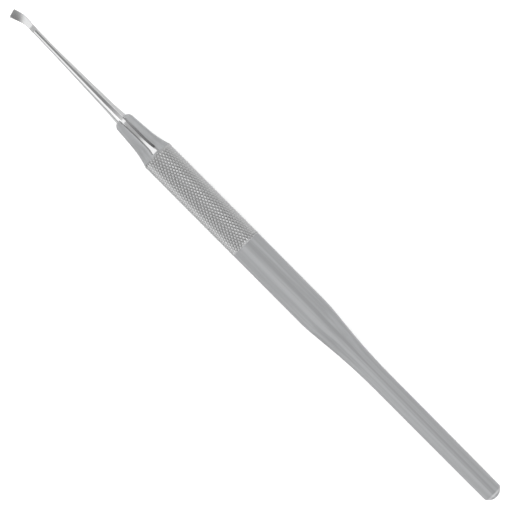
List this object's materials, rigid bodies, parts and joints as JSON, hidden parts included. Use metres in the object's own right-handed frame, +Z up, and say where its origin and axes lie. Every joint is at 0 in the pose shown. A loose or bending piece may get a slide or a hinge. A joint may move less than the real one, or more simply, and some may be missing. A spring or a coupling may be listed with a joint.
{
  "type": "dental scaler",
  "caption": "One-piece single-ended dental chisel scaler: slim tail, knurled handle with a thumb flute, tapering shank and a flat swept blade with a square cutting edge",
  "frame": {"origin": "middle of the underside of the bounding box, where the knurled handle touches the table", "axes": "+X along the long axis from the tail towards the cutting edge, +Z up and square to the blade's face, +Y to the side the blade sweeps towards"},
  "size_m": [0.1602, 0.008, 0.008],
  "materials": {
    "steel": "satin handle, polished shank and blade"
  },
  "bodies": {
    "root": {"scaler": "steel"}
  },
  "joints": []
}
